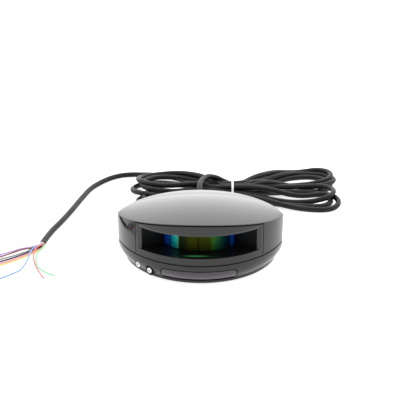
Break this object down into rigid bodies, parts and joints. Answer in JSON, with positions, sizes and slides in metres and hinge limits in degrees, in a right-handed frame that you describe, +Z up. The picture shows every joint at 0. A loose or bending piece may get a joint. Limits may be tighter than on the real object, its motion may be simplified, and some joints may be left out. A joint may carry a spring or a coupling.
{
  "type": "lidar scanner module",
  "caption": "Lens-shaped scanning laser sensor with a curved recessed window, spinning mirror, signal window, swivelling base and a bundled flying-lead cable.",
  "frame": {"origin": "centre of the base plate's underside, on the surface that the module stands on", "axes": "+X towards the module's right tip seen from the front, -Y out of the scan window, +Z up through the roof"},
  "size_m": [0.2984, 0.2274, 0.0492],
  "materials": {
    "gloss_black": "gloss",
    "base_black": "satin",
    "recess_black": "gloss",
    "scan_glass": "dark interference-coated window",
    "signal_tint": "dark purple tint, gloss",
    "seal_rubber": "matte",
    "steel": "zinc plated",
    "screw_chrome": "bright",
    "mirror_face": "front-surface mirror",
    "aluminium": "machined",
    "coil_copper": "enamelled copper wire",
    "board_green": "solder resist",
    "connector_ivory": "satin",
    "lens_glass": "coated lens",
    "cable_jacket": "satin",
    "tie_white": "satin",
    "wire_yellow": "satin insulation",
    "wire_pink": "satin insulation",
    "wire_black": "satin insulation",
    "wire_grey": "satin insulation",
    "wire_brown": "satin insulation",
    "wire_purple": "satin insulation",
    "wire_white": "satin insulation",
    "wire_blue": "satin insulation",
    "wire_red": "satin insulation",
    "wire_green": "satin insulation"
  },
  "bodies": {
    "base": {"base_plate": "base_black", "swivel_retainer": "steel", "retainer_screw_1": "steel", "retainer_screw_2": "steel", "retainer_screw_3": "steel"},
    "head": {"bottom_housing": "gloss_black", "housing_seal": "seal_rubber", "top_cover": "gloss_black", "front_bezel": "gloss_black", "scan_recess": "recess_black", "laser_window": "scan_glass", "signal_window": "signal_tint", "led_board": "board_green", "housing_screw_1": "steel", "housing_screw_2": "steel", "housing_screw_3": "steel", "housing_screw_4": "steel", "motor_board": "board_green", "motor_stator": "coil_copper", "bearing_lower": "steel", "bearing_upper": "steel", "optical_chassis": "aluminium", "optics_bracket": "aluminium", "receiver_barrel": "aluminium", "receiver_lens": "lens_glass", "receiver_board": "board_green", "emitter_barrel": "aluminium", "emitter_lens": "lens_glass", "emitter_board": "board_green", "main_board": "board_green", "board_connector": "connector_ivory", "gland_body": "base_black", "gland_lock_nut": "base_black", "strain_relief": "seal_rubber", "cable_lead": "cable_jacket", "cable_hank": "cable_jacket", "cable_tie": "tie_white", "cable_tail": "cable_jacket", "wire_yellow": "wire_yellow", "wire_pink": "wire_pink", "wire_black": "wire_black", "wire_grey": "wire_grey", "wire_brown": "wire_brown", "wire_purple": "wire_purple", "wire_white": "wire_white", "wire_blue": "wire_blue", "wire_red": "wire_red", "wire_green": "wire_green"},
    "rotor": {"motor_rotor": "steel", "motor_shaft": "steel", "mirror_hub": "aluminium", "mirror_facet_1": "mirror_face", "mirror_facet_2": "mirror_face", "mirror_facet_3": "mirror_face", "mirror_facet_4": "mirror_face", "encoder_disc": "steel"},
    "lock_screw": {"lock_screw": "screw_chrome"},
    "adjust_screw": {"adjust_screw": "screw_chrome"}
  },
  "joints": [
    {"name": "head_swivel", "type": "hinge", "parent": "base", "child": "head", "pos_m": [0, 0, 0.0055], "axis": [0, 0, 1], "range_deg": [-5, 5]},
    {"name": "mirror_spin", "type": "hinge", "parent": "head", "child": "rotor", "pos_m": [0, -0.002, 0.031], "axis": [0, 0, 1], "continuous": true},
    {"name": "lock_screw_turn", "type": "hinge", "parent": "head", "child": "lock_screw", "pos_m": [-0.0454, -0.0254, 0.0072], "axis": [-0.72, -0.694, 0], "range_deg": [0, 360]},
    {"name": "adjust_screw_turn", "type": "hinge", "parent": "head", "child": "adjust_screw", "pos_m": [-0.0358, -0.03326, 0.0068], "axis": [-0.5705, -0.8213, 0], "range_deg": [-469, 469]}
  ],
  "couplings": [
    {"joint": "adjust_screw_turn", "follows": "head_swivel", "ratio": -93.6}
  ]
}
